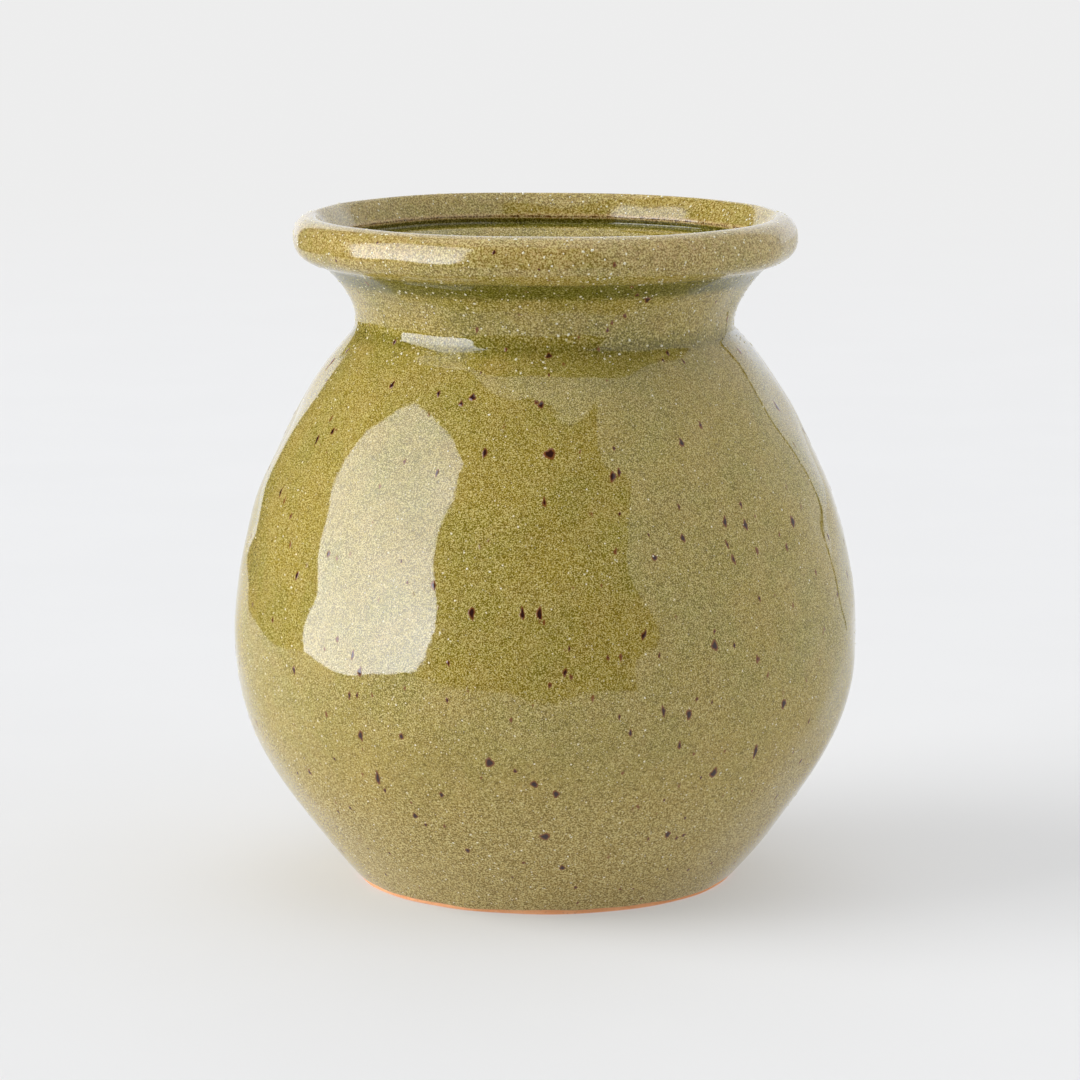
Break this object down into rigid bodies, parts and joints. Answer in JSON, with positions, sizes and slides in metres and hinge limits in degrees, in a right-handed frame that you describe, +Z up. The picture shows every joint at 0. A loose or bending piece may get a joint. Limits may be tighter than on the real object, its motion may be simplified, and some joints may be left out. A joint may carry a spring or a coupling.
{
  "type": "vase",
  "caption": "Round-bellied glazed stoneware vase with a short flared neck, thick rolled rim and a bare clay foot ring.",
  "frame": {"origin": "centre of the foot, on the surface that the vase stands on", "axes": "+Z up along the axis of revolution; +X and +Y are any two level directions"},
  "size_m": [0.1172, 0.1172, 0.125],
  "materials": {
    "fired_clay": "unglazed fired terracotta-coloured clay, fine grit, matt",
    "outer_glaze": "glossy olive-green glaze with dark iron spots, pale grit specks and fine crackle, thin and tan on the rim",
    "liner_glaze": "the same glossy olive-green glaze, poured inside"
  },
  "bodies": {
    "root": {"clay_body": "fired_clay", "outer_glaze": "outer_glaze", "inner_glaze": "liner_glaze"}
  },
  "joints": []
}
